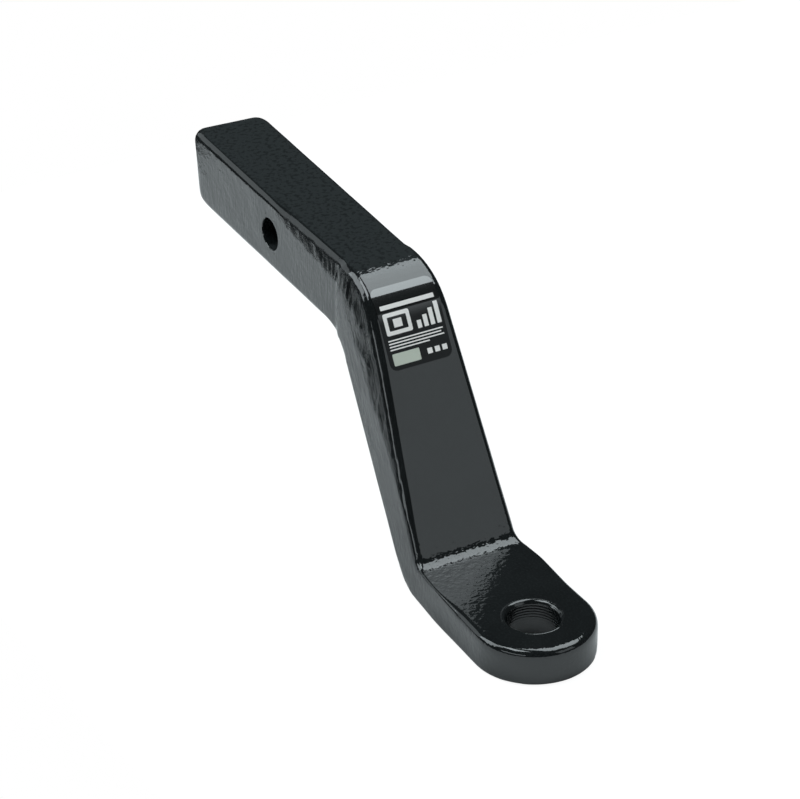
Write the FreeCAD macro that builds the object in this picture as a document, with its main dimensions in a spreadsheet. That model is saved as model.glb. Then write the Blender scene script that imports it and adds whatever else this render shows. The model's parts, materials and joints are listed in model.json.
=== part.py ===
import FreeCAD
import Part
import Sketcher
import math
import os

# Drop hitch bar: a cranked tow bar, forged in one piece, with a printed film label on its neck.
# The origin is the centre of the hitch pin hole, +X runs to the ball end and +Z is up. Units are mm.

SIZES = [
    # Shank: the square end that slides into the receiver
    ("shank_side", 31.75),
    ("tail_reach", 67.6),
    ("tail_lean", 4.4),
    ("tail_break", 2.6),
    # Crank: the neck between the shank and the tongue, measured at its sharp corners
    ("top_corner_x", 77.0),
    ("neck_run", 58.1),
    ("neck_drop", 96.7),
    ("neck_thick_top", 35.4),
    ("neck_thick_low", 21.0),
    ("bend_radius", 30.0),
    ("armpit_radius", 24.0),
    ("fold_radius", 8.0),
    ("heel_radius", 20.0),
    # Tongue: the flat, round-nosed end that carries the ball
    ("tongue_thick", 15.4),
    ("tongue_width", 50.1),
    ("ball_reach", 50.0),
    # Plan outline: a short flare, straight flanks along the neck, then near-parallel cheeks to the nose
    ("flare_start", 55.0),
    ("flare_step", 0.8),
    ("flare_round", 5.0),
    ("hip_reach", 10.0),
    ("hip_inset", 1.1),
    ("hip_round", 150.0),
    # Holes
    ("pin_hole_dia", 13.5),
    ("pin_rim", 0.7),
    ("ball_hole_dia", 20.8),
    ("ball_rim", 1.4),
    ("nut_rim", 0.5),
    # Edge rounds
    ("edge_round", 3.1),
    ("tongue_round", 1.2),
    # Film label on the neck, wrapped part of the way over the top bend
    ("label_width", 27.5),
    ("label_offset", 1.0),
    ("label_wrap_angle", 27.3),
    ("label_drop", 19.1),
    ("label_thick", 0.2),
    ("label_corner", 3.0),
    # Stock beyond the part that the plan outline trims away
    ("trim_stock", 12.0),
]

doc = FreeCAD.newDocument("drop_hitch_bar")
sheet = doc.addObject("Spreadsheet::Sheet", "Sizes")
for row, (alias, value) in enumerate(SIZES, start=1):
    sheet.set("A%d" % row, alias)
    sheet.set("B%d" % row, str(value))
    sheet.setAlias("B%d" % row, alias)
doc.recompute()

# Lengths that several features share, worked out from the sheet
TURN_HALF = "((sqrt(Sizes.neck_run ^ 2 + Sizes.neck_drop ^ 2) - Sizes.neck_run) / Sizes.neck_drop)"
HIP_X = "(Sizes.top_corner_x + Sizes.neck_run + Sizes.hip_reach)"
BALL_X = "(Sizes.top_corner_x + Sizes.neck_run + Sizes.ball_reach)"


def size(alias):
    return float(sheet.get(alias))


def origin_plane(body, role):
    for feature in body.Origin.OriginFeatures:
        if feature.Role == role:
            return feature
    raise RuntimeError("no plane " + role)


def add_sketch(body, name, role):
    sketch = body.newObject("Sketcher::SketchObject", name)
    sketch.AttachmentSupport = [(origin_plane(body, role), "")]
    sketch.MapMode = "FlatFace"
    return sketch


def add_line(sketch, start, end):
    a = FreeCAD.Vector(start[0], start[1], 0)
    b = FreeCAD.Vector(end[0], end[1], 0)
    return sketch.addGeometry(Part.LineSegment(a, b), False)


def add_arc(sketch, centre, radius, start, end):
    circle = Part.Circle(FreeCAD.Vector(centre[0], centre[1], 0), FreeCAD.Vector(0, 0, 1), radius)
    return sketch.addGeometry(Part.ArcOfCircle(circle, start, end), False)


def bind(sketch, expression, value, kind, *where):
    index = sketch.addConstraint(Sketcher.Constraint(kind, *where, value))
    sketch.setExpression("Constraints[%d]" % index, expression)
    return index


def close_loop(sketch, pieces, smooth=()):
    # Each piece is (geometry, its first end, its second end) in the order of travel.
    # A piece in smooth runs on into the next one without a corner.
    for this, following in zip(pieces, pieces[1:] + pieces[:1]):
        kind = "Tangent" if this[0] in smooth else "Coincident"
        sketch.addConstraint(Sketcher.Constraint(kind, this[0], this[2], following[0], following[1]))


def edge_names(shape, wanted):
    return ["Edge%d" % (i + 1) for i, edge in enumerate(shape.Edges) if wanted(edge)]


def set_both_sides(feature):
    if "SideType" in feature.PropertiesList:
        feature.SideType = "Symmetric"
    else:
        feature.Midplane = True


# Numbers for the first drawing of each sketch; the constraints take over from there
half = size("shank_side") / 2
top_x = size("top_corner_x")
fold_x = top_x + size("neck_run")
tongue_z = half - size("neck_drop")
under_z = tongue_z - size("tongue_thick")
ball_x = fold_x + size("ball_reach")
nose = size("tongue_width") / 2
stock = size("trim_stock")
neck_len = math.hypot(size("neck_run"), size("neck_drop"))
along = (size("neck_run") / neck_len, -size("neck_drop") / neck_len)
inward = (along[1], -along[0])
taper = math.asin((size("neck_thick_top") - size("neck_thick_low")) / neck_len)
normal = (
    inward[0] * math.cos(taper) + along[0] * math.sin(taper),
    inward[1] * math.cos(taper) + along[1] * math.sin(taper),
)
on_under = (top_x + normal[0] * size("neck_thick_top"), half + normal[1] * size("neck_thick_top"))
under_dir = (-normal[1], normal[0])
armpit_x = on_under[0] + under_dir[0] * (-half - on_under[1]) / under_dir[1]
heel_x = on_under[0] + under_dir[0] * (under_z - on_under[1]) / under_dir[1]

# Side profile of the bar, with sharp corners
bar = doc.addObject("PartDesign::Body", "Bar")
profile = add_sketch(bar, "SideProfile", "XZ_Plane")
end_x = ball_x + nose + stock
corners = [
    (-size("tail_reach"), half),
    (top_x, half),
    (fold_x, tongue_z),
    (end_x, tongue_z),
    (end_x, under_z),
    (heel_x, under_z),
    (armpit_x, -half),
    (-size("tail_reach") + size("tail_lean"), -half),
]
sides = [add_line(profile, a, b) for a, b in zip(corners, corners[1:] + corners[:1])]
TOP, FRONT, DECK, NOSE, UNDER, BACK, BELLY, TAIL = sides
close_loop(profile, [(g, 1, 2) for g in sides])
for flat in (TOP, DECK, UNDER, BELLY):
    profile.addConstraint(Sketcher.Constraint("Horizontal", flat))
profile.addConstraint(Sketcher.Constraint("Vertical", NOSE))
bind(profile, "Sizes.shank_side / 2", half, "DistanceY", -1, 1, TOP, 1)
bind(profile, "Sizes.shank_side", 2 * half, "DistanceY", BELLY, 2, TOP, 1)
bind(profile, "Sizes.tail_reach", size("tail_reach"), "DistanceX", TOP, 1, -1, 1)
bind(profile, "Sizes.tail_lean", size("tail_lean"), "DistanceX", TOP, 1, BELLY, 2)
bind(profile, "Sizes.top_corner_x", top_x, "DistanceX", -1, 1, TOP, 2)
bind(profile, "Sizes.neck_run", size("neck_run"), "DistanceX", FRONT, 1, FRONT, 2)
bind(profile, "Sizes.neck_drop", size("neck_drop"), "DistanceY", FRONT, 2, FRONT, 1)
bind(profile, "Sizes.tongue_thick", size("tongue_thick"), "DistanceY", NOSE, 2, NOSE, 1)
bind(
    profile, "Sizes.ball_reach + Sizes.tongue_width / 2 + Sizes.trim_stock",
    size("ball_reach") + nose + stock, "DistanceX", DECK, 1, DECK, 2,
)
bind(profile, "Sizes.neck_thick_top", size("neck_thick_top"), "Distance", FRONT, 1, BACK)
bind(profile, "Sizes.neck_thick_low", size("neck_thick_low"), "Distance", FRONT, 2, BACK)

blank = bar.newObject("PartDesign::Pad", "Blank")
blank.Profile = profile
set_both_sides(blank)
blank.setExpression("Length", "Sizes.tongue_width + 2 * Sizes.trim_stock")
profile.Visibility = False
doc.recompute()

# The four bends of the crank
armpit = profile.Geometry[BACK].EndPoint
heel = profile.Geometry[BACK].StartPoint
tip = blank
for name, alias, x, z in (
    ("TopBend", "bend_radius", top_x, half),
    ("ArmpitBend", "armpit_radius", armpit.x, armpit.y),
    ("FoldBend", "fold_radius", fold_x, tongue_z),
    ("HeelBend", "heel_radius", heel.x, heel.y),
):
    found = edge_names(
        tip.Shape,
        lambda e: abs(e.CenterOfMass.x - x) < 0.05 and abs(e.CenterOfMass.z - z) < 0.05,
    )
    bend = bar.newObject("PartDesign::Fillet", name)
    bend.Base = (tip, found)
    bend.setExpression("Radius", "Sizes." + alias)
    doc.recompute()
    tip = bend

# Plan outline: everything outside it is trimmed from the blank
plan = add_sketch(bar, "PlanOutline", "XY_Plane")
flare_x = size("flare_start")
flare_r = size("flare_round")
flare_y = half + size("flare_step")
hip_x = fold_x + size("hip_reach")
hip_y = nose - size("hip_inset")
hip_r = size("hip_round")
flare_run = 0.0
for attempt in range(8):
    flank_angle = math.atan2(hip_y - flare_y, hip_x - flare_x - flare_run)
    flare_turn = math.acos((1 + math.cos(flank_angle) - size("flare_step") / flare_r) / 2)
    flare_run = flare_r * (2 * math.sin(flare_turn) - math.sin(flank_angle))
flare_end = flare_x + flare_run
flare_hub = (
    flare_x + 2 * flare_r * math.sin(flare_turn),
    half + flare_r - 2 * flare_r * math.cos(flare_turn),
)
quarter = math.pi / 2
hip_hub = (hip_x + hip_r * math.sin(flank_angle), hip_y - hip_r * math.cos(flank_angle))
between = (ball_x - hip_hub[0], -hip_hub[1])
cheek_angle = math.atan2(between[1], between[0]) - math.asin((hip_r - nose) / math.hypot(*between))
touch = math.pi / 2 + cheek_angle
hip_start = math.pi / 2 + flank_angle
hip_end = (hip_hub[0] - hip_r * math.sin(cheek_angle), hip_hub[1] + hip_r * math.cos(cheek_angle))
touch_at = (ball_x + nose * math.cos(touch), nose * math.sin(touch))
far_x = -size("tail_reach") - stock
shank_l = add_line(plan, (far_x, half), (flare_x, half))
flare_in_l = add_arc(plan, (flare_x, half + flare_r), flare_r, -quarter, flare_turn - quarter)
flare_out_l = add_arc(plan, flare_hub, flare_r, quarter + flank_angle, quarter + flare_turn)
flank_l = add_line(plan, (flare_end, flare_y), (hip_x, hip_y))
hip_l = add_arc(plan, hip_hub, hip_r, touch, hip_start)
cheek_l = add_line(plan, hip_end, touch_at)
round_nose = add_arc(plan, (ball_x, 0), nose, -touch, touch)
cheek_r = add_line(plan, (touch_at[0], -touch_at[1]), (hip_end[0], -hip_end[1]))
hip_r_arc = add_arc(plan, (hip_hub[0], -hip_hub[1]), hip_r, -hip_start, -touch)
flank_r = add_line(plan, (hip_x, -hip_y), (flare_end, -flare_y))
flare_out_r = add_arc(
    plan, (flare_hub[0], -flare_hub[1]), flare_r, -quarter - flare_turn, -quarter - flank_angle,
)
flare_in_r = add_arc(plan, (flare_x, -half - flare_r), flare_r, quarter - flare_turn, quarter)
shank_r = add_line(plan, (flare_x, -half), (far_x, -half))
far_end = add_line(plan, (far_x, -half), (far_x, half))
close_loop(plan, [
    (shank_l, 1, 2), (flare_in_l, 1, 2), (flare_out_l, 2, 1), (flank_l, 1, 2), (hip_l, 2, 1),
    (cheek_l, 1, 2), (round_nose, 2, 1), (cheek_r, 1, 2), (hip_r_arc, 2, 1), (flank_r, 1, 2),
    (flare_out_r, 2, 1), (flare_in_r, 1, 2), (shank_r, 1, 2), (far_end, 1, 2),
], smooth=(
    shank_l, flare_in_l, flare_out_l, flank_l, hip_l, cheek_l,
    round_nose, cheek_r, hip_r_arc, flank_r, flare_out_r, flare_in_r,
))
plan.addConstraint(Sketcher.Constraint("PointOnObject", round_nose, 3, -1))
plan.addConstraint(Sketcher.Constraint("Symmetric", shank_l, 1, shank_r, 2, -1))
plan.addConstraint(Sketcher.Constraint("Symmetric", shank_l, 2, shank_r, 1, -1))
plan.addConstraint(Sketcher.Constraint("Symmetric", flank_l, 2, flank_r, 1, -1))
plan.addConstraint(Sketcher.Constraint("Horizontal", shank_l))
bind(plan, "Sizes.shank_side", 2 * half, "DistanceY", shank_r, 2, shank_l, 1)
bind(plan, "Sizes.tail_reach + Sizes.trim_stock", -far_x, "DistanceX", shank_l, 1, -1, 1)
bind(plan, "Sizes.flare_start", flare_x, "DistanceX", -1, 1, shank_l, 2)
bind(plan, "Sizes.flare_round", flare_r, "Radius", flare_in_l)
for other in (flare_out_l, flare_out_r, flare_in_r):
    plan.addConstraint(Sketcher.Constraint("Equal", flare_in_l, other))
bind(plan, "Sizes.flare_step", size("flare_step"), "DistanceY", shank_l, 2, flank_l, 1)
bind(plan, "Sizes.flare_step", size("flare_step"), "DistanceY", flank_r, 2, shank_r, 1)
bind(plan, HIP_X, hip_x, "DistanceX", -1, 1, flank_l, 2)
bind(plan, "Sizes.hip_round", hip_r, "Radius", hip_l)
plan.addConstraint(Sketcher.Constraint("Equal", hip_l, hip_r_arc))
bind(plan, "Sizes.tongue_width - 2 * Sizes.hip_inset", 2 * hip_y, "DistanceY", flank_r, 1, flank_l, 2)
bind(plan, BALL_X, ball_x, "DistanceX", -1, 1, round_nose, 3)
bind(plan, "Sizes.tongue_width / 2", nose, "Radius", round_nose)
box_near = -size("tail_reach") - 2 * stock
box_far = ball_x + nose + 2 * stock
box_half = nose + 2 * stock
box = [(box_near, -box_half), (box_far, -box_half), (box_far, box_half), (box_near, box_half)]
frame = [add_line(plan, a, b) for a, b in zip(box, box[1:] + box[:1])]
close_loop(plan, [(g, 1, 2) for g in frame])
for g in (frame[0], frame[2]):
    plan.addConstraint(Sketcher.Constraint("Horizontal", g))
plan.addConstraint(Sketcher.Constraint("Vertical", frame[1]))
plan.addConstraint(Sketcher.Constraint("Symmetric", frame[0], 1, frame[2], 2, -1))
bind(plan, "Sizes.tail_reach + 2 * Sizes.trim_stock", -box_near, "DistanceX", frame[0], 1, -1, 1)
bind(
    plan, BALL_X + " + Sizes.tongue_width / 2 + 2 * Sizes.trim_stock",
    box_far, "DistanceX", -1, 1, frame[0], 2,
)
bind(plan, "Sizes.tongue_width + 4 * Sizes.trim_stock", 2 * box_half, "DistanceY", frame[1], 1, frame[1], 2)

trim = bar.newObject("PartDesign::Pocket", "PlanTrim")
trim.Profile = plan
trim.Type = "ThroughAll"
set_both_sides(trim)
plan.Visibility = False
doc.recompute()

# Hitch pin hole through the shank and ball hole through the tongue
pin_sketch = add_sketch(bar, "PinHoleCircle", "XZ_Plane")
ring = Part.Circle(FreeCAD.Vector(0, 0, 0), FreeCAD.Vector(0, 0, 1), size("pin_hole_dia") / 2)
pin_sketch.addGeometry(ring, False)
pin_sketch.addConstraint(Sketcher.Constraint("Coincident", 0, 3, -1, 1))
bind(pin_sketch, "Sizes.pin_hole_dia", size("pin_hole_dia"), "Diameter", 0)
pin_hole = bar.newObject("PartDesign::Pocket", "PinHole")
pin_hole.Profile = pin_sketch
pin_hole.Type = "ThroughAll"
set_both_sides(pin_hole)
pin_sketch.Visibility = False

ball_sketch = add_sketch(bar, "BallHoleCircle", "XY_Plane")
ring = Part.Circle(FreeCAD.Vector(ball_x, 0, 0), FreeCAD.Vector(0, 0, 1), size("ball_hole_dia") / 2)
ball_sketch.addGeometry(ring, False)
ball_sketch.addConstraint(Sketcher.Constraint("PointOnObject", 0, 3, -1))
bind(ball_sketch, BALL_X, ball_x, "DistanceX", -1, 1, 0, 3)
bind(ball_sketch, "Sizes.ball_hole_dia", size("ball_hole_dia"), "Diameter", 0)
ball_hole = bar.newObject("PartDesign::Pocket", "BallHole")
ball_hole.Profile = ball_sketch
ball_hole.Type = "ThroughAll"
set_both_sides(ball_hole)
ball_sketch.Visibility = False
doc.recompute()


def rim_of(edge, radius, x, z=None):
    curve = edge.Curve
    if not isinstance(curve, Part.Circle) or abs(curve.Radius - radius) > 0.01:
        return False
    return abs(curve.Center.x - x) < 0.01 and (z is None or abs(curve.Center.z - z) < 0.01)


pin_break = bar.newObject("PartDesign::Chamfer", "PinHoleRims")
pin_rims = edge_names(ball_hole.Shape, lambda e: rim_of(e, size("pin_hole_dia") / 2, 0))
pin_break.Base = (ball_hole, pin_rims)
pin_break.setExpression("Size", "Sizes.pin_rim")
doc.recompute()
ball_radius = size("ball_hole_dia") / 2
ball_break = bar.newObject("PartDesign::Chamfer", "BallHoleRim")
deck_rim = edge_names(pin_break.Shape, lambda e: rim_of(e, ball_radius, ball_x, tongue_z))
ball_break.Base = (pin_break, deck_rim)
ball_break.setExpression("Size", "Sizes.ball_rim")
doc.recompute()
nut_break = bar.newObject("PartDesign::Chamfer", "NutSideRim")
under_rim = edge_names(ball_break.Shape, lambda e: rim_of(e, ball_radius, ball_x, under_z))
nut_break.Base = (ball_break, under_rim)
nut_break.setExpression("Size", "Sizes.nut_rim")
bar.Tip = nut_break
doc.recompute()


# Edge rounds along the whole bar: full on the shank and neck, fading to a small round on the tongue
def face_kind(face):
    surface = face.Surface
    if isinstance(surface, Part.Plane):
        if abs(surface.Axis.y) > 0.5:
            return "wall"
        return "roof"
    if isinstance(surface, Part.Cylinder):
        if abs(surface.Axis.z) > 0.9 and abs(surface.Radius - size("ball_hole_dia") / 2) > 0.1:
            return "wall"
        if abs(surface.Axis.y) > 0.9:
            return "roof"
    return "other"


# Part::Fillet takes one start and one end radius per edge, so they are worked out from the sheet here.
shape = bar.Shape
rounds = []
for number, edge in enumerate(shape.Edges, start=1):
    kinds = sorted(face_kind(f) for f in shape.ancestorsOfType(edge, Part.Face))
    if kinds != ["roof", "wall"]:
        continue
    middle = edge.CenterOfMass
    if middle.x < -size("tail_reach") + size("tail_lean") + 0.01:
        continue
    ends = [edge.valueAt(edge.FirstParameter), edge.valueAt(edge.LastParameter)]
    ends.sort(key=lambda p: p.x)
    fading = not isinstance(edge.Curve, (Part.Line, Part.Circle)) and ends[1].z < tongue_z / 2
    full = size("edge_round")
    small = size("tongue_round")
    if fading:
        # The contour runs the other way round on the second side of each bend.
        on_deck = ends[1].z > tongue_z - 1
        if on_deck == (middle.y > 0):
            rounds.append((number, full, small))
        else:
            rounds.append((number, small, full))
    elif ends[0].x > fold_x and ends[0].z < tongue_z / 2:
        rounds.append((number, small, small))
    elif ends[0].z < tongue_z + 0.1 and ends[1].z < tongue_z + 0.1:
        rounds.append((number, small, small))
    else:
        rounds.append((number, full, full))

rounded = doc.addObject("Part::Fillet", "EdgeRounds")
rounded.Base = bar
rounded.Edges = rounds
bar.Visibility = False
doc.recompute()

# The sheared tail, its rim worn round
tail_rim = []
for number, edge in enumerate(rounded.Shape.Edges, start=1):
    points = [edge.valueAt(t) for t in (edge.FirstParameter, edge.LastParameter)] + [edge.CenterOfMass]
    off_tail = [p.x + size("tail_reach") - size("tail_lean") * (0.5 - p.z / (2 * half)) for p in points]
    if max(abs(d) for d in off_tail) < 0.05:
        tail_rim.append((number, size("tail_break"), size("tail_break")))
drop_bar = doc.addObject("Part::Fillet", "DropBar")
drop_bar.Base = rounded
drop_bar.Edges = tail_rim
drop_bar.Label = "drop_bar"
drop_bar.Placement = FreeCAD.Placement()
rounded.Visibility = False
doc.recompute()

# Film label: a thin strip on the neck's front that starts part of the way round the top bend
label = doc.addObject("PartDesign::Body", "LabelFilm")
strip = add_sketch(label, "LabelProfile", "XZ_Plane")
slope = math.atan2(size("neck_drop"), size("neck_run"))
radius = size("bend_radius")
film = size("label_thick")
turn = math.tan(slope / 2)
hub = (top_x - radius * turn, half - radius)
first = slope - math.radians(size("label_wrap_angle"))


def on_bend(r, angle):
    return (hub[0] + r * math.sin(angle), hub[1] + r * math.cos(angle))


def moved(point, distance):
    return (point[0] + along[0] * distance, point[1] + along[1] * distance)


inner = add_arc(strip, hub, radius, math.pi / 2 - slope, math.pi / 2 - first)
outer = add_arc(strip, hub, radius + film, math.pi / 2 - slope, math.pi / 2 - first)
low_in = moved(on_bend(radius, slope), size("label_drop"))
low_out = moved(on_bend(radius + film, slope), size("label_drop"))
back_face = add_line(strip, on_bend(radius, slope), low_in)
low_end = add_line(strip, low_in, low_out)
front_face = add_line(strip, low_out, on_bend(radius + film, slope))
high_end = add_line(strip, on_bend(radius + film, first), on_bend(radius, first))
close_loop(strip, [
    (inner, 2, 1), (back_face, 1, 2), (low_end, 1, 2), (front_face, 1, 2), (outer, 1, 2), (high_end, 1, 2),
], smooth=(inner, front_face))
strip.addConstraint(Sketcher.Constraint("Coincident", inner, 3, outer, 3))
strip.addConstraint(Sketcher.Constraint("Perpendicular", low_end, back_face))
strip.addConstraint(Sketcher.Constraint("Parallel", back_face, front_face))
hub_x = "Sizes.top_corner_x - Sizes.bend_radius * " + TURN_HALF
START = "(atan(Sizes.neck_drop / Sizes.neck_run) - Sizes.label_wrap_angle * 1 deg)"
bind(strip, hub_x, hub[0], "DistanceX", -1, 1, inner, 3)
bind(strip, "Sizes.shank_side / 2 - Sizes.bend_radius", hub[1], "DistanceY", -1, 1, inner, 3)
bind(strip, "Sizes.bend_radius", radius, "Radius", inner)
bind(strip, "Sizes.bend_radius + Sizes.label_thick", radius + film, "Radius", outer)
bind(
    strip, "Sizes.bend_radius * Sizes.neck_drop / sqrt(Sizes.neck_run ^ 2 + Sizes.neck_drop ^ 2)",
    radius * math.sin(slope), "DistanceX", inner, 3, inner, 1,
)
bind(
    strip, "Sizes.bend_radius * sin(%s)" % START,
    radius * math.sin(first), "DistanceX", inner, 3, inner, 2,
)
bind(
    strip, "(Sizes.bend_radius + Sizes.label_thick) * sin(%s)" % START,
    (radius + film) * math.sin(first), "DistanceX", inner, 3, outer, 2,
)
bind(strip, "Sizes.label_drop", size("label_drop"), "Distance", back_face, 1, back_face, 2)

film_pad = label.newObject("PartDesign::Pad", "Film")
film_pad.Profile = strip
set_both_sides(film_pad)
film_pad.setExpression("Length", "Sizes.label_width")
strip.Visibility = False
strip.setExpression("AttachmentOffset.Base.z", "-Sizes.label_offset")
doc.recompute()


def is_corner(edge):
    return abs(edge.Length - size("label_thick")) < 0.02


label_corners = label.newObject("PartDesign::Fillet", "LabelCorners")
label_corners.Base = (film_pad, edge_names(film_pad.Shape, is_corner))
label_corners.setExpression("Radius", "Sizes.label_corner")
label.Tip = label_corners
label.Label = "label"
label.Placement = FreeCAD.Placement()
doc.recompute()

# Checks, then one STEP file for each piece
for item in doc.Objects:
    if "Invalid" in item.State or "Error" in item.State:
        raise RuntimeError("%s is %s" % (item.Name, item.State))
    if hasattr(item, "Shape") and item.isDerivedFrom("Part::Feature"):
        if item.Shape.isNull() or not item.Shape.isValid():
            raise RuntimeError("%s has a bad shape" % item.Name)

os.makedirs("parts", exist_ok=True)
for piece in (drop_bar, label):
    if len(piece.Shape.Solids) != 1:
        raise RuntimeError("%s has %d solids" % (piece.Label, len(piece.Shape.Solids)))
    piece.Shape.exportStep("parts/" + piece.Label + ".step")
    FreeCAD.Console.PrintMessage("%s volume %.1f\n" % (piece.Label, piece.Shape.Volume))
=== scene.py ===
import json
import math

import bmesh
import bpy
from mathutils import Matrix, Vector, noise


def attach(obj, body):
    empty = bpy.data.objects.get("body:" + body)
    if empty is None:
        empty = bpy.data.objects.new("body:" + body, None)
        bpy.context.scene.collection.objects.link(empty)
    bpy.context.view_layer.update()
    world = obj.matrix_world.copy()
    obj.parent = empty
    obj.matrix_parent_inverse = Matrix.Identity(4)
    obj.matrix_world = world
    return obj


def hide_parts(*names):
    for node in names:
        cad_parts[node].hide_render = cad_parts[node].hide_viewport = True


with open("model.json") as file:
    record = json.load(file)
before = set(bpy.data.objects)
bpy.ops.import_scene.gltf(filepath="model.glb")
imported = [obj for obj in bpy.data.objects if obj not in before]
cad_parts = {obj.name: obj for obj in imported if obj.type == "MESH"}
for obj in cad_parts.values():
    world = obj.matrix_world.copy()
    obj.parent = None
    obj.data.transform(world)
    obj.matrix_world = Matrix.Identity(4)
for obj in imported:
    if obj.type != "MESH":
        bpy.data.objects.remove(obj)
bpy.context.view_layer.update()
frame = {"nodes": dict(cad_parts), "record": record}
scene = bpy.context.scene
MM = 0.001

# Places on the bar in mm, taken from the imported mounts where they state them
mounts = {mount["name"]: mount for mount in frame["record"]["mounts"]}
BALL_X = mounts["ball_hole"]["pos_m"][0] / MM
BALL_RADIUS = mounts["ball_hole"]["dims"]["r_mm"]
BALL_RIM = 1.4
PIN_RADIUS = mounts["hitch_pin_hole"]["dims"]["r_mm"]
DECK_Z = mounts["ball_seat"]["pos_m"][2] / MM
UNDER_Z = mounts["nut_seat"]["pos_m"][2] / MM
HALF = 15.875
TAIL_REACH = 67.6
TAIL_LEAN = 4.4
FLARE_X = 55.0
TOP_CORNER = (77.0, HALF)
FOLD_CORNER = (135.1, DECK_Z)
NECK_RUN = FOLD_CORNER[0] - TOP_CORNER[0]
NECK_DROP = TOP_CORNER[1] - FOLD_CORNER[1]
NECK_SLOPE = math.atan2(NECK_DROP, NECK_RUN)
BEND_RADIUS = 30.0
BEND_HUB = (TOP_CORNER[0] - BEND_RADIUS * math.tan(NECK_SLOPE / 2), HALF - BEND_RADIUS)
NOSE_RADIUS = 25.05
HIP_X = 145.1
HIP_INSET = 1.1

VALUE = "NodeSocketFloat"
VECTOR = "NodeSocketVector"


def new_tree(material):
    material.use_nodes = True
    tree = material.node_tree
    tree.nodes.clear()
    return tree


def add_node(tree, kind, values=None, **settings):
    node = tree.nodes.new(kind)
    for name, value in settings.items():
        setattr(node, name, value)
    for name, value in (values or {}).items():
        node.inputs[name].default_value = value
    return node


def join(tree, source, target):
    tree.links.new(source, target)


def feed(tree, sockets, values):
    for socket, value in zip(sockets, values):
        if isinstance(value, (int, float)):
            socket.default_value = value
        else:
            join(tree, value, socket)


def calc(tree, operation, *values):
    node = add_node(tree, "ShaderNodeMath", operation=operation)
    feed(tree, node.inputs, values)
    return node.outputs[0]


def product(tree, *values):
    result = values[0]
    for value in values[1:]:
        result = calc(tree, "MULTIPLY", result, value)
    return result


def total(tree, *values):
    result = values[0]
    for value in values[1:]:
        result = calc(tree, "ADD", result, value)
    return result


def blend(tree, mask, low, high):
    node = add_node(tree, "ShaderNodeMix", data_type="FLOAT")
    feed(tree, (node.inputs[0], node.inputs[2], node.inputs[3]), (mask, low, high))
    return node.outputs[0]


def ramp(tree, value, low, high, out_low=0.0, out_high=1.0):
    node = add_node(tree, "ShaderNodeMapRange", {
        "From Min": low, "From Max": high, "To Min": out_low, "To Max": out_high,
    }, interpolation_type="SMOOTHSTEP")
    join(tree, value, node.inputs["Value"])
    return node.outputs["Result"]


def axes(tree, vector):
    node = add_node(tree, "ShaderNodeSeparateXYZ")
    join(tree, vector, node.inputs[0])
    return node.outputs


def grain(tree, place, size, detail=2.0, roughness=0.5, turn=0.0):
    # Noise with a grain of that size in mm along X, Y and Z, turned about Y
    node = add_node(tree, "ShaderNodeMapping", {
        "Scale": size, "Rotation": (0, turn, 0),
    }, vector_type="TEXTURE")
    join(tree, place, node.inputs["Vector"])
    speckle = add_node(tree, "ShaderNodeTexNoise", {"Scale": 1.0, "Detail": detail, "Roughness": roughness})
    join(tree, node.outputs[0], speckle.inputs["Vector"])
    return speckle.outputs["Fac"]


def new_group(name, inputs, outputs):
    group = bpy.data.node_groups.new(name, "ShaderNodeTree")
    for title, kind in inputs:
        group.interface.new_socket(title, in_out="INPUT", socket_type=kind)
    for title, kind in outputs:
        group.interface.new_socket(title, in_out="OUTPUT", socket_type=kind)
    return group, group.nodes.new("NodeGroupInput"), group.nodes.new("NodeGroupOutput")


def principled(tree, values):
    shader = add_node(tree, "ShaderNodeBsdfPrincipled", values)
    out = add_node(tree, "ShaderNodeOutputMaterial")
    join(tree, shader.outputs[0], out.inputs["Surface"])
    return shader


# Forged bar: the CAD surface cut fine, its corners worn and its faces slightly uneven (lengths in mm)
WELD = 0.002
PLAIN_EDGE = 2.2
FINE_EDGE = 1.0
CUT_ROUNDS = 8
MOST_FACES = 180000
HARD_ANGLE = math.radians(36)
EDGE_ROUND = 3.1
TAIL_SKEW = 2.6
TAIL_RUN = 16.0
TAIL_CORNER = 6.2
TAIL_FADE = 2.2
TONGUE_EDGE = 3.4
TONGUE_FADE = 25.0
BALL_MARGIN = 0.8
PIN_MARGIN = 1.6
PIN_RIM = 0.7
RIM_SPAN = 0.35
RIM_DEPTH = 0.4
SIDE_LEAN = math.tan(math.radians(12))
LEAN_START = -6.0
LEAN_RISE = 26.0
LEAN_AT_PIN = 3.5
LEAN_GROWTH = 0.10
LEAN_AT_BEND = 6.4
LEAN_WIDEN = 3.5
LEAN_WIDEN_RUN = 12.0
LEAN_DEEPEST = 13.0
SMOOTH_ROUNDS = 4
SWELL_SIZE = 16.0
SWELL_HEIGHT = 0.07
RIPPLE_SIZE = 6.0
RIPPLE_HEIGHT = 0.012
SNAP = 0.05


def ease(value):
    value = min(1.0, max(0.0, value))
    return value * value * (3 - 2 * value)


def worn(insets, radius):
    # Insets from the faces that meet at an edge or corner, drawn in to a round of that radius
    deep = [max(0.0, radius - inset) for inset in insets]
    reach = math.sqrt(sum(d * d for d in deep))
    if reach <= radius:
        return insets
    return [radius - d * radius / reach if d else inset for d, inset in zip(deep, insets)]


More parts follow.
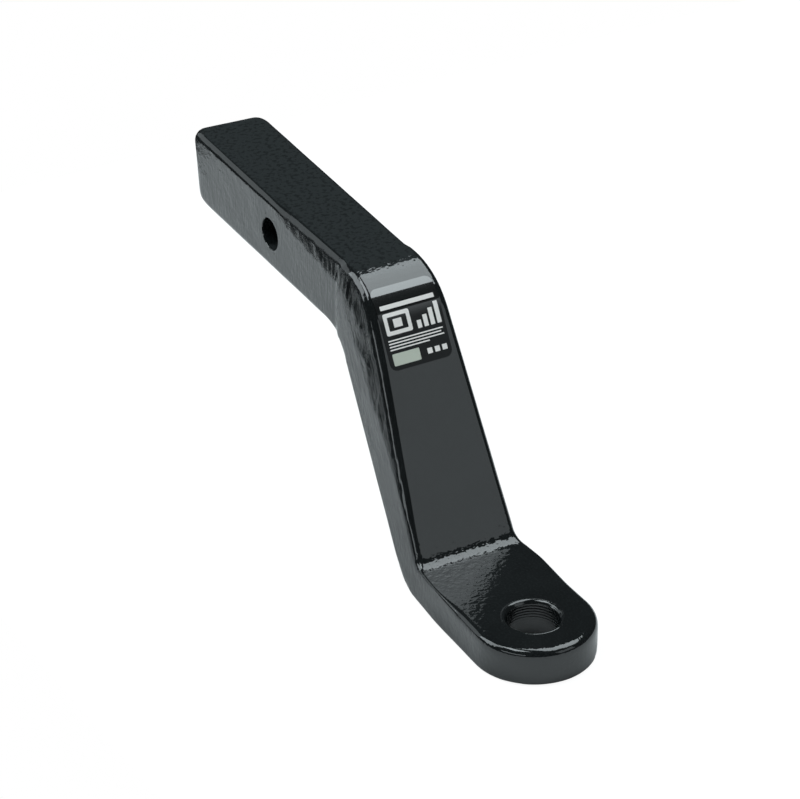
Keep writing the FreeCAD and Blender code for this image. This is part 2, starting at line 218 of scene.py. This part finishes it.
def wear_tail(x, y, z):
    # The tail is slightly out of square, longer on the -Y side, and its corners are rounder
    skew = TAIL_SKEW * (0.5 - y / (2 * HALF))
    share = ease((TAIL_RUN - TAIL_REACH - x) / TAIL_RUN)
    tail_x = -TAIL_REACH + TAIL_LEAN * (0.5 - z / (2 * HALF))
    insets = (x - tail_x, HALF - abs(y), HALF - abs(z))
    radius = max(EDGE_ROUND, TAIL_CORNER - insets[0] / TAIL_FADE)
    from_tail, from_side, from_roof = worn(insets, radius)
    new_x = tail_x + from_tail - skew * share
    return new_x, math.copysign(HALF - from_side, y), math.copysign(HALF - from_roof, z)


def wear_tongue(x, y, z):
    # The tongue's upper rim is rounder from the hips on
    if x > BALL_X:
        out = Vector((x - BALL_X, y)).normalized()
        inset = NOSE_RADIUS - math.hypot(x - BALL_X, y)
    else:
        out = Vector((0, math.copysign(1, y)))
        inset = NOSE_RADIUS - HIP_INSET * (BALL_X - x) / (BALL_X - HIP_X) - abs(y)
    radius = TONGUE_EDGE * min(1.0, (x - HIP_X) / TONGUE_FADE)
    from_deck, new_inset = worn((DECK_Z - z, inset), radius)
    step = out * (inset - new_inset)
    return x + step.x, y + step.y, DECK_Z - from_deck


def under_skin(x, z):
    # Depth below the outside of the bar: the shank's top, the bend or the neck's front
    dx = x - BEND_HUB[0]
    dz = z - BEND_HUB[1]
    if dx < 0:
        return HALF - z
    if math.atan2(dx, dz) > NECK_SLOPE:
        return BEND_RADIUS - dx * math.sin(NECK_SLOPE) - dz * math.cos(NECK_SLOPE)
    return BEND_RADIUS - math.hypot(dx, dz)


def lean_band(x, z):
    # Depth that the lean of the -Y side reaches: it grows along the shank, is widest at the bend
    # and fades down the neck
    if x < BEND_HUB[0]:
        return ease((x - LEAN_START) / LEAN_RISE) * (LEAN_AT_PIN + LEAN_GROWTH * x)
    widest = LEAN_AT_BEND + LEAN_WIDEN * ease((x - BEND_HUB[0]) / LEAN_WIDEN_RUN)
    return EDGE_ROUND * ease((z + 74) / 20) + widest * ease((z + 64) / 60)


def lean_side(x, y, z):
    # The -Y side leans in towards the outside of the bend, from a torn line
    band = lean_band(x, z)
    depth = under_skin(x, z)
    if band < 0.1 or depth > 2 * band:
        return y
    torn = 0.45 * noise.noise(Vector((x / 1.7, 7, depth / 6)))
    torn += 0.3 * noise.noise(Vector((x / 6, 11, z / 6)))
    lean = SIDE_LEAN * band * max(0.0, 1 - max(0.0, depth) / (band * (1 + torn)))
    return y + lean * min(1.0, -y / HALF) ** 2


def near_hole(point):
    # Points on a hole's wall, its rim and just outside, which wear and unevenness leave alone
    x, y, z = point / MM
    if z < -HALF:
        return math.hypot(x - BALL_X, y) < BALL_RADIUS + BALL_RIM + BALL_MARGIN
    return math.hypot(x, z) < PIN_RADIUS + PIN_MARGIN


def fill_rim(x, y, z):
    # The pin hole's rim is drawn in; the hole keeps its size
    reach = math.hypot(x, z)
    rim = max(0.0, reach - PIN_RADIUS)
    new_reach = min(reach, PIN_RADIUS + RIM_SPAN * rim)
    inset = HALF - abs(y)
    if inset < PIN_RIM + SNAP:
        inset *= RIM_DEPTH
    return x * new_reach / reach, math.copysign(HALF - inset, y), z * new_reach / reach


def half_width(x):
    if x < FLARE_X:
        return HALF
    flare = (NOSE_RADIUS - HIP_INSET - HALF) * (x - FLARE_X) / (HIP_X - FLARE_X)
    return min(NOSE_RADIUS, HALF + flare)


def edge_limit(edge):
    # Finer where the corners wear: the tail, the tongue's rim and the outer edges of shank and neck
    x, y, z = (edge.verts[0].co + edge.verts[1].co) / (2 * MM)
    if x < TAIL_CORNER + TAIL_LEAN - TAIL_REACH:
        return FINE_EDGE * MM
    if x > HIP_X:
        reach = math.hypot(max(0.0, x - BALL_X), y)
        on_rim = DECK_Z - z < TONGUE_EDGE + 1 and reach > NOSE_RADIUS - TONGUE_EDGE - 2
    else:
        deep = EDGE_ROUND + 1 if y > 0 else LEAN_DEEPEST
        on_rim = under_skin(x, z) < deep and abs(y) > half_width(x) - EDGE_ROUND - 2
    return (FINE_EDGE if on_rim else PLAIN_EDGE) * MM


def fine_bar(node):
    mesh = node.data.copy()
    work = bmesh.new()
    work.from_mesh(mesh)
    bmesh.ops.remove_doubles(work, verts=work.verts, dist=WELD * MM)
    for attempt in range(CUT_ROUNDS):
        long_edges = [e for e in work.edges if e.calc_length() > edge_limit(e)]
        if not long_edges:
            break
        bmesh.ops.subdivide_edges(work, edges=long_edges, cuts=1)
        bmesh.ops.triangulate(work, faces=[f for f in work.faces if len(f.verts) > 3])
    free = [v for v in work.verts if not near_hole(v.co)]
    for v in work.verts:
        x, y, z = v.co / MM
        if math.hypot(x, z) < PIN_RADIUS + PIN_RIM + SNAP:
            v.co = Vector(fill_rim(x, y, z)) * MM
    for v in free:
        x, y, z = v.co / MM
        if x < TAIL_RUN - TAIL_REACH:
            v.co = Vector(wear_tail(x, y, z)) * MM
        elif x > HIP_X and z > UNDER_Z + TONGUE_EDGE:
            v.co = Vector(wear_tongue(x, y, z)) * MM
        elif y < 0 and LEAN_START < x < HIP_X:
            v.co.y = lean_side(x, y, z) * MM
    for attempt in range(SMOOTH_ROUNDS):
        bmesh.ops.smooth_vert(
            work, verts=free, factor=0.5, use_axis_x=True, use_axis_y=True, use_axis_z=True,
        )
    work.normal_update()
    for v in free:
        spot = v.co / MM
        swell = noise.noise(spot / SWELL_SIZE)
        ripple = noise.noise(spot / RIPPLE_SIZE + Vector((0, 31, 0)))
        v.co += v.normal * (SWELL_HEIGHT * swell + RIPPLE_HEIGHT * ripple) * MM
    work.to_mesh(mesh)
    work.free()
    mesh.materials.clear()
    piece = bpy.data.objects.new("bar_forging", mesh)
    scene.collection.objects.link(piece)
    thin_out(piece)
    return piece


def thin_out(piece):
    # Fewer faces where the surface is plain, then hard edges only where faces meet steeply
    fewer = piece.modifiers.new("fewer", "DECIMATE")
    fewer.ratio = min(1.0, MOST_FACES / len(piece.data.polygons))
    seen = piece.evaluated_get(bpy.context.evaluated_depsgraph_get())
    mesh = bpy.data.meshes.new_from_object(seen)
    piece.modifiers.clear()
    piece.data = mesh
    work = bmesh.new()
    work.from_mesh(mesh)
    for f in work.faces:
        f.smooth = True
    for e in work.edges:
        if len(e.link_faces) == 2 and e.calc_face_angle(0) > HARD_ANGLE:
            e.smooth = False
    work.to_mesh(mesh)
    work.free()


# Paint: gloss black over the forging, pebbled on the roofs, streaked on the sides
PEBBLE_HIGH = 0.14
PEBBLE_LOW = 0.10
PEBBLE_FOLD = 0.12
PEBBLE_LEAST = 0.025
MOTTLE_DEPTH = 0.16
SCALE_DEPTH = 0.45
RING_DEPTH = 0.05
RING_TURN = 5.2
LIP_DEPTH = 0.13
CROWN_DEPTH = 0.25
BAND_DEPTH = 0.35
PAINT_IOR = 1.62
PAINT_ROUGHNESS = (0.07, 0.22)
PAINT_CLEAN = (0.0060, 0.0072, 0.0076, 1)
# Lighter paint colour: dust in patches and specks, and a painted sheen over the shank's top
PAINT_DUST_AND_SHEEN = (0.0220, 0.0255, 0.0262, 1)


def paint_group():
    group, start, end = new_group(
        "forged_paint", [("Place", VECTOR), ("Facing", VECTOR)],
        [("Height", VALUE), ("Dullness", VALUE), ("Dust", VALUE)],
    )
    spot = add_node(group, "ShaderNodeVectorMath", {"Scale": 1 / MM}, operation="SCALE")
    join(group, start.outputs["Place"], spot.inputs[0])
    place = spot.outputs[0]
    x, y, z = axes(group, place)
    face_y = axes(group, start.outputs["Facing"])[1]
    face_z = axes(group, start.outputs["Facing"])[2]
    slant = calc(group, "ABSOLUTE", face_y)
    side = ramp(group, slant, 0.80, 0.97)
    calm = ramp(group, slant, 0.04, 0.25, 1.0, 0.1)
    roof = ramp(group, face_z, 0.90, 0.99)
    low = ramp(group, z, -58, -76)
    neck = product(group, side, ramp(group, x, FLARE_X - 1, FLARE_X + 4), ramp(group, z, -86, -74))
    lean = NECK_SLOPE - math.pi / 2

    # Relief in mm: pebbles on the roofs, upright marks on the sides, scale drawn out along the neck
    pebble = grain(group, place, (1.5, 1.9, 1.6), detail=1.5, roughness=0.45)
    mottle = grain(group, place, (3.5, 9, 3.0), detail=3.0, roughness=0.6)
    from_fold = total(group, calc(group, "ABSOLUTE", calc(group, "SUBTRACT", x, FOLD_CORNER[0])),
                      calc(group, "ABSOLUTE", calc(group, "SUBTRACT", z, DECK_Z)))
    fold = ramp(group, from_fold, 20, 8)
    high_roof = product(group, roof, ramp(group, z, -20, 0))
    depth = total(
        group, product(group, high_roof, PEBBLE_HIGH), product(group, low, PEBBLE_LOW),
        product(group, fold, PEBBLE_FOLD), PEBBLE_LEAST,
    )
    shear = grain(group, place, (1.1, 16, 9), detail=4.0, roughness=0.65)
    scale = grain(group, place, (1.8, 16, 13), detail=5.0, roughness=0.7, turn=lean)
    patch = grain(group, place, (18, 18, 18), detail=4.0, roughness=0.6)
    sheared = product(group, shear, side, ramp(group, patch, 0.35, 0.65, 0.05, 0.22))
    sheared = total(group, sheared, product(group, mottle, side, MOTTLE_DEPTH))
    height = total(
        group, product(group, pebble, depth, calm), sheared, product(group, scale, neck, SCALE_DEPTH),
    )

    # Ball hole: rings on its wall, a crowned rim and a lip round it
    from_axis = calc(group, "SUBTRACT", x, BALL_X)
    squares = total(group, calc(group, "POWER", from_axis, 2.0), calc(group, "POWER", y, 2.0))
    reach = calc(group, "SQRT", squares)
    in_hole = product(
        group, ramp(group, reach, BALL_RADIUS + 0.9, BALL_RADIUS + 0.3), ramp(group, z, -70, -75),
    )
    turns = total(group, product(group, z, RING_TURN), product(group, patch, 5.0))
    rings = product(group, calc(group, "SINE", turns), ramp(group, z, -93, -84), RING_DEPTH)
    lip_in = BALL_RADIUS + BALL_RIM
    lip = product(
        group, ramp(group, reach, lip_in - 0.1, lip_in + 0.2), ramp(group, reach, lip_in + 0.9, lip_in + 0.4),
    )
    from_crown = calc(group, "SUBTRACT", reach, BALL_RADIUS + BALL_RIM / 2)
    on_rim = calc(group, "DIVIDE", from_crown, BALL_RIM / 2)
    crown = calc(group, "MAXIMUM", calc(group, "SUBTRACT", 1.0, calc(group, "POWER", on_rim, 2.0)), 0.0)
    crown = product(group, crown, ramp(group, z, -70, -75), CROWN_DEPTH)
    height = total(group, blend(group, in_hole, height, rings), product(group, lip, roof, LIP_DEPTH), crown)

    # Dull bands: a ragged one under the shank's top edge, a wide one down the front of the neck
    torn = grain(group, place, (2.2, 9, 5), detail=4.0, roughness=0.7, turn=lean)
    torn = calc(group, "SUBTRACT", torn, 0.5)
    ragged = grain(group, place, (1.5, 9, 4), detail=5.0, roughness=0.75)
    ragged = calc(group, "SUBTRACT", ragged, 0.5)
    over = total(group, z, product(group, x, 0.10), product(group, ragged, 9.0), -12.4)
    shank_band = product(
        group, side, ramp(group, x, 2, 16), ramp(group, x, FLARE_X + 1, FLARE_X - 3),
        ramp(group, over, -0.5, 0.5),
    )
    inset = total(
        group, product(group, x, -math.sin(NECK_SLOPE)), product(group, z, -math.cos(NECK_SLOPE)),
        TOP_CORNER[0] * math.sin(NECK_SLOPE) + TOP_CORNER[1] * math.cos(NECK_SLOPE),
    )
    reach_in = total(
        group, ramp(group, z, -62, 2, 0.0, 17.0), product(group, torn, 12.0), product(group, inset, -1.0),
    )
    neck_band = product(group, neck, ramp(group, reach_in, -1.0, 1.0))
    streaks = product(group, neck, ramp(group, scale, 0.40, 0.60, 0.75, 0.05))
    marks = product(group, side, ramp(group, shear, 0.35, 0.60, 0.30, 0.0))
    under = product(group, side, ramp(group, z, -76, -84), 0.22)
    bands = calc(group, "MAXIMUM", shank_band, neck_band)
    dull = calc(group, "MAXIMUM", bands, calc(group, "MAXIMUM", streaks, marks))
    dull = calc(group, "MAXIMUM", total(group, dull, under), product(group, in_hole, 0.4))
    torn_lip = product(group, bands, -BAND_DEPTH)
    join(group, total(group, height, torn_lip), end.inputs["Height"])
    join(group, dull, end.inputs["Dullness"])
    speck = grain(group, place, (0.8, 0.8, 0.8), detail=2.0, roughness=0.6)
    # Dust in random patches and specks, plus a painted sheen: the high roof is painted lighter, most on the
    # pebbles' crests, in place of their highlights
    dust_and_sheen = total(
        group, product(group, high_roof, ramp(group, pebble, 0.35, 0.65, 0.3, 1.6)),
        ramp(group, patch, 0.35, 0.70, 0.0, 0.15), ramp(group, speck, 0.45, 0.75, 0.0, 0.4),
    )
    join(group, dust_and_sheen, end.inputs["Dust"])
    return group


def paint_material():
    material = bpy.data.materials.new("black_paint")
    tree = new_tree(material)
    shader = principled(tree, {"IOR": PAINT_IOR})
    coords = add_node(tree, "ShaderNodeTexCoord")
    surface = add_node(tree, "ShaderNodeNewGeometry")
    paint = add_node(tree, "ShaderNodeGroup", node_tree=paint_group())
    join(tree, coords.outputs["Object"], paint.inputs["Place"])
    join(tree, surface.outputs["True Normal"], paint.inputs["Facing"])
    # Black paint lightened by dust, and on the shank's top by painted sheen
    black = add_node(tree, "ShaderNodeMix", data_type="RGBA")
    black.inputs[6].default_value = PAINT_CLEAN
    black.inputs[7].default_value = PAINT_DUST_AND_SHEEN
    join(tree, paint.outputs["Dust"], black.inputs[0])
    join(tree, black.outputs[2], shader.inputs["Base Color"])
    dullness = ramp(tree, paint.outputs["Dullness"], 0.0, 1.0, *PAINT_ROUGHNESS)
    join(tree, dullness, shader.inputs["Roughness"])
    bump = add_node(tree, "ShaderNodeBump", {"Strength": 1.0, "Distance": MM})
    join(tree, paint.outputs["Height"], bump.inputs["Height"])
    join(tree, bump.outputs["Normal"], shader.inputs["Normal"])
    return material


# Label: a gloss black film with a generic print of blocks and rules (mm)
LABEL_WIDTH = 27.5
LABEL_LONG = 33.4
LABEL_OFFSET = 1.0
LABEL_CORNER = 3.0
LABEL_WRAP = math.radians(27.3)
LABEL_THICK = 0.2
FILM = (0.006, 0.0066, 0.007, 1)
WHITE = (0.96, 0.92, 0.89, 1)
PALE = (0.60, 0.64, 0.55, 1)
PRINT_SOFT = 0.06
CURVE_STEPS = 10
STRAIGHT_STEPS = 40
HALF_COLUMNS = 15
RIM_ANGLE = math.radians(40)
# Each block: across from the middle, down from the top edge, half width, half height, corner, colour
PRINT = [
    (0.0, 8.4, 12.0, 0.9, 0.3, WHITE),
    (-6.2, 15.2, 5.8, 4.4, 0.8, WHITE),
    (-6.2, 15.2, 4.2, 2.8, 0.4, FILM),
    (-6.2, 15.2, 1.9, 1.7, 0.2, WHITE),
    (2.8, 18.0, 0.95, 1.6, 0.2, WHITE),
    (5.7, 17.2, 0.95, 2.4, 0.2, WHITE),
    (8.6, 16.2, 0.95, 3.4, 0.2, WHITE),
    (11.5, 15.2, 0.95, 4.4, 0.2, WHITE),
    (0.0, 21.6, 12.2, 0.26, 0.1, WHITE),
    (-0.5, 22.8, 11.7, 0.26, 0.1, WHITE),
    (0.0, 24.0, 12.2, 0.26, 0.1, WHITE),
    (-3.4, 25.2, 8.8, 0.26, 0.1, WHITE),
    (-6.0, 29.2, 6.0, 2.4, 0.4, PALE),
    (4.4, 29.2, 1.1, 1.1, 0.2, WHITE),
    (7.7, 29.2, 1.1, 1.1, 0.2, WHITE),
    (11.0, 29.2, 1.1, 1.1, 0.2, WHITE),
]


def block_group():
    group, start, end = new_group(
        "print_block", [("Spot", VECTOR), ("Centre", VECTOR), ("Half", VECTOR), ("Corner", VALUE)],
        [("Mask", VALUE)],
    )

    def vector(operation, first, second=None):
        node = add_node(group, "ShaderNodeVectorMath", operation=operation)
        join(group, first, node.inputs[0])
        if isinstance(second, tuple):
            node.inputs[1].default_value = second
        elif second is not None:
            join(group, second, node.inputs[1])
        return node.outputs["Value"] if operation == "LENGTH" else node.outputs["Vector"]

    off = vector("ABSOLUTE", vector("SUBTRACT", start.outputs["Spot"], start.outputs["Centre"]))
    past = vector("ADD", vector("SUBTRACT", off, start.outputs["Half"]), start.outputs["Corner"])
    outside = vector("MULTIPLY", vector("MAXIMUM", past, (0, 0, 0)), (1, 1, 0))
    distance = calc(group, "SUBTRACT", vector("LENGTH", outside), start.outputs["Corner"])
    join(group, ramp(group, distance, -PRINT_SOFT, PRINT_SOFT, 1.0, 0.0), end.inputs["Mask"])
    return group


def label_material():
    material = bpy.data.materials.new("label_film")
    tree = new_tree(material)
    shader = principled(tree, {
        "Roughness": 0.3, "Specular IOR Level": 0.1, "Coat Roughness": 0.05, "Coat IOR": 1.9,
    })
    sheet = add_node(tree, "ShaderNodeUVMap", uv_map="sheet")
    block = block_group()
    colour = None
    for across, down, half_wide, half_high, corner, tint in PRINT:
        use = add_node(tree, "ShaderNodeGroup", {
            "Centre": (across, down, 0), "Half": (half_wide, half_high, 1), "Corner": corner,
        }, node_tree=block)
        join(tree, sheet.outputs[0], use.inputs["Spot"])
        mix = add_node(tree, "ShaderNodeMix", data_type="RGBA")
        mix.inputs[6].default_value = FILM
        mix.inputs[7].default_value = tint
        if colour is not None:
            join(tree, colour, mix.inputs[6])
        join(tree, use.outputs["Mask"], mix.inputs[0])
        colour = mix.outputs[2]
    join(tree, colour, shader.inputs["Base Color"])
    down = axes(tree, sheet.outputs[0])[1]
    join(tree, ramp(tree, down, 15.0, 8.0, 0.1, 1.0), shader.inputs["Coat Weight"])
    return material


def label_piece():
    first = NECK_SLOPE - LABEL_WRAP
    hub = Vector((BEND_HUB[0], 0, BEND_HUB[1]))
    wrap = BEND_RADIUS * LABEL_WRAP

    def spot(down, across, lift):
        angle = first + min(down, wrap) / BEND_RADIUS
        out = Vector((math.sin(angle), 0, math.cos(angle)))
        along = Vector((math.cos(angle), 0, -math.sin(angle)))
        flat = along * max(0.0, down - wrap)
        shift = Vector((0, LABEL_OFFSET + across, 0))
        return (hub + out * (BEND_RADIUS + lift) + flat + shift) * MM

    curve = [LABEL_CORNER * (1 - math.cos(math.pi / 2 * k / CURVE_STEPS)) for k in range(CURVE_STEPS)]
    straight = LABEL_LONG - 2 * LABEL_CORNER
    middle = [LABEL_CORNER + straight * k / STRAIGHT_STEPS for k in range(STRAIGHT_STEPS + 1)]
    rows = curve + middle + [LABEL_LONG - d for d in reversed(curve)]
    columns = [-1 + k / HALF_COLUMNS for k in range(2 * HALF_COLUMNS + 1)]
    work = bmesh.new()
    sheet = work.loops.layers.uv.new("sheet")
    spots = {}
    grid = []
    for down in rows:
        gap = max(0.0, LABEL_CORNER - min(down, LABEL_LONG - down))
        half = LABEL_WIDTH / 2 - LABEL_CORNER + math.sqrt(max(0.0, LABEL_CORNER ** 2 - gap ** 2))
        line = []
        for column in columns:
            v = work.verts.new(spot(down, column * half, LABEL_THICK))
            spots[v] = (column * half, down)
            line.append(v)
        grid.append(line)
    for upper, lower in zip(grid, grid[1:]):
        for a, b, c, d in zip(upper, lower, lower[1:], upper[1:]):
            work.faces.new((a, b, c, d))
    left = [line[0] for line in grid]
    right = [line[-1] for line in reversed(grid)]
    rim = left + grid[-1][1:-1] + right + grid[0][-2:0:-1]
    feet = []
    for v in rim:
        across, down = spots[v]
        foot = work.verts.new(spot(down, across, -LABEL_THICK / 4))
        spots[foot] = spots[v]
        feet.append(foot)
    for k, v in enumerate(rim):
        work.faces.new((v, feet[k], feet[k - 1], rim[k - 1]))
    bmesh.ops.recalc_face_normals(work, faces=work.faces)
    for f in work.faces:
        f.smooth = True
        for loop in f.loops:
            loop[sheet].uv = spots[loop.vert]
    for e in work.edges:
        if len(e.link_faces) == 2 and e.calc_face_angle(0) > RIM_ANGLE:
            e.smooth = False
    mesh = bpy.data.meshes.new("label_sheet")
    work.to_mesh(mesh)
    work.free()
    piece = bpy.data.objects.new("label_sheet", mesh)
    scene.collection.objects.link(piece)
    return piece


bar = fine_bar(frame["nodes"]["drop_bar"])
bar.data.materials.append(paint_material())
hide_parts("drop_bar")
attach(bar, "root")

label = label_piece()
label.data.materials.append(label_material())
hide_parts("label")
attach(label, "root")


# Floor: plain white, and only faintly shaded to the camera (metres)
FLOOR_BACK = -0.24
FLOOR_FRONT = 0.60
FLOOR_NEAR = -0.17
FLOOR_FAR = 0.40
FLOOR_GAP = 0.0003
FLOOR_GLOW = 1.1
FLOOR_GLOW_SHARE = 0.85


def floor_piece():
    z = UNDER_Z * MM - FLOOR_GAP
    mesh = bpy.data.meshes.new("floor")
    corners = [
        (FLOOR_BACK, FLOOR_NEAR, z), (FLOOR_FRONT, FLOOR_NEAR, z),
        (FLOOR_FRONT, FLOOR_FAR, z), (FLOOR_BACK, FLOOR_FAR, z),
    ]
    mesh.from_pydata(corners, [], [(0, 1, 2, 3)])
    material = bpy.data.materials.new("floor")
    tree = new_tree(material)
    out = add_node(tree, "ShaderNodeOutputMaterial")
    matte = add_node(tree, "ShaderNodeBsdfDiffuse", {"Color": (0.9, 0.9, 0.9, 1)})
    glow = add_node(tree, "ShaderNodeEmission", {"Color": (1, 1, 1, 1), "Strength": FLOOR_GLOW})
    path = add_node(tree, "ShaderNodeLightPath")
    mix = add_node(tree, "ShaderNodeMixShader")
    join(tree, product(tree, path.outputs["Is Camera Ray"], FLOOR_GLOW_SHARE), mix.inputs[0])
    join(tree, matte.outputs[0], mix.inputs[1])
    join(tree, glow.outputs[0], mix.inputs[2])
    join(tree, mix.outputs[0], out.inputs["Surface"])
    mesh.materials.append(material)
    piece = bpy.data.objects.new("floor", mesh)
    scene.collection.objects.link(piece)


# Lights: soft boxes round the bar, set by the highlights in the photo (metres)
LIGHT_CENTRE = Vector((0.08, 0, -0.04))
LIGHT_TINT = (0.88, 0.97, 1.0)


def soft_box(name, toward, distance, width, height, radiance):
    # A lit rectangle that faces the bar from that direction
    light = bpy.data.lights.new(name, "AREA")
    light.shape = "RECTANGLE"
    light.size = width
    light.size_y = height
    light.energy = radiance * math.pi * width * height
    light.color = LIGHT_TINT
    piece = bpy.data.objects.new(name, light)
    direction = Vector(toward).normalized()
    piece.location = LIGHT_CENTRE + direction * distance
    piece.rotation_euler = direction.to_track_quat("Z", "Y").to_euler()
    scene.collection.objects.link(piece)


floor_piece()
soft_box("overhead", (-0.05, 0.42, 0.90), 1.3, 0.95, 0.75, 4.0)
soft_box("left_bank", (-0.365, -0.686, 0.629), 1.4, 0.75, 0.95, 3.4)
soft_box("front_top", (-0.02, -0.30, 0.95), 1.5, 0.8, 0.6, 5.5)
soft_box("front_card", (0.81, 0.42, 0.41), 1.5, 0.8, 0.8, 0.8)
soft_box("left_card", (0.50, -0.83, 0.22), 1.2, 0.9, 0.14, 2.0)
soft_box("rear_card", (-0.80, -0.45, 0.33), 1.3, 0.9, 0.75, 0.9)


# Room: dim in the reflections, white to the camera
def room():
    world = bpy.data.worlds.new("room")
    scene.world = world
    tree = new_tree(world)
    out = add_node(tree, "ShaderNodeOutputWorld")
    dim = add_node(tree, "ShaderNodeBackground", {"Color": (0.038, 0.042, 0.043, 1), "Strength": 1.0})
    white = add_node(tree, "ShaderNodeBackground", {"Color": (1, 1, 1, 1), "Strength": 1.0})
    path = add_node(tree, "ShaderNodeLightPath")
    mix = add_node(tree, "ShaderNodeMixShader")
    join(tree, path.outputs["Is Camera Ray"], mix.inputs[0])
    join(tree, dim.outputs[0], mix.inputs[1])
    join(tree, white.outputs[0], mix.inputs[2])
    join(tree, mix.outputs[0], out.inputs["Surface"])


# Camera at the photo's angle, fitted to the outline
CAMERA_PLACE = (1.586705, -0.850169, 1.022603)
CAMERA_RIGHT = (0.48789, 0.87288, 0.00631)
CAMERA_UP = (-0.45938, 0.2506, 0.85216)
CAMERA_BACK = (0.74225, -0.41866, 0.52325)
CAMERA_LENS = 230.67


def photo_camera():
    lens = bpy.data.cameras.new("camera")
    lens.sensor_width = 36.0
    lens.lens = CAMERA_LENS
    lens.clip_end = 50.0
    camera = bpy.data.objects.new("camera", lens)
    turn = Matrix((CAMERA_RIGHT, CAMERA_UP, CAMERA_BACK)).transposed().to_4x4()
    camera.matrix_world = Matrix.Translation(CAMERA_PLACE) @ turn
    scene.collection.objects.link(camera)
    scene.camera = camera


room()
photo_camera()
scene.view_settings.view_transform = "Standard"
